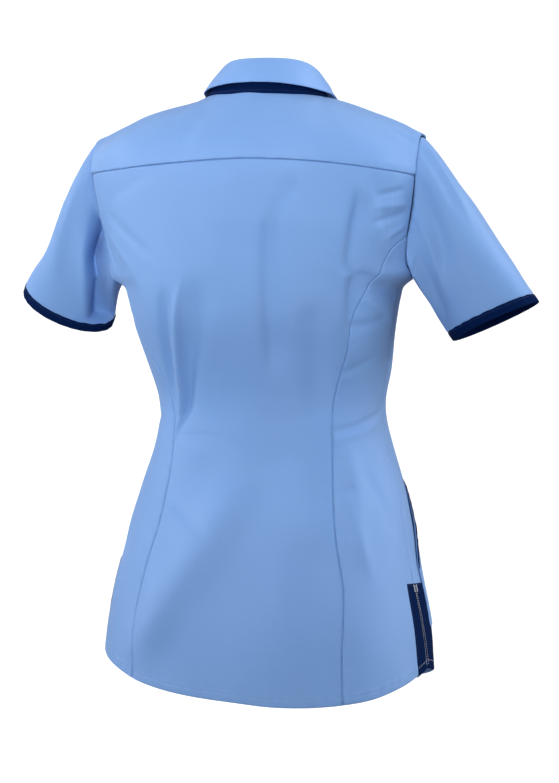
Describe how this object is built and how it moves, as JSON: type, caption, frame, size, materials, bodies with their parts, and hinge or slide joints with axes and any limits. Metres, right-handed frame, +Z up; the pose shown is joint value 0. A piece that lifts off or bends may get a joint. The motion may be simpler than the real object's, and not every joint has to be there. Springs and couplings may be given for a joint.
{
  "type": "work tunic",
  "caption": "Fitted short-sleeved work tunic, hollow and filled out as if worn, with folded collar, back yoke, curved back seams, hip pockets and side vents.",
  "frame": {"origin": "in the neck opening, midway between the two shoulders and level with their neck ends, where the wearer holds the tunic", "axes": "+Z up the garment, the front faces -Y, and the wearer's left is +X"},
  "size_m": [0.6056, 0.2615, 0.7185],
  "materials": {
    "light_blue_twill": "fine poly-cotton twill, smooth and slightly soft",
    "navy_twill": "fine poly-cotton twill, dark",
    "blue_button": "polished"
  },
  "bodies": {
    "root": {"back_yoke": "light_blue_twill", "back_centre": "light_blue_twill", "back_side_right": "light_blue_twill", "back_side_left": "light_blue_twill", "front_right": "light_blue_twill", "front_left": "light_blue_twill", "sleeve_right": "light_blue_twill", "sleeve_left": "light_blue_twill", "collar_fall": "light_blue_twill", "pocket_right": "light_blue_twill", "pocket_left": "light_blue_twill", "collar_stand": "navy_twill", "cuff_right": "navy_twill", "cuff_left": "navy_twill", "pocket_edge_right": "navy_twill", "pocket_edge_left": "navy_twill", "vent_back_right": "navy_twill", "vent_back_left": "navy_twill", "vent_front_right": "navy_twill", "vent_front_left": "navy_twill", "button_1": "blue_button", "button_2": "blue_button", "button_3": "blue_button", "button_4": "blue_button", "button_5": "blue_button", "button_6": "blue_button", "button_7": "blue_button"}
  },
  "joints": []
}
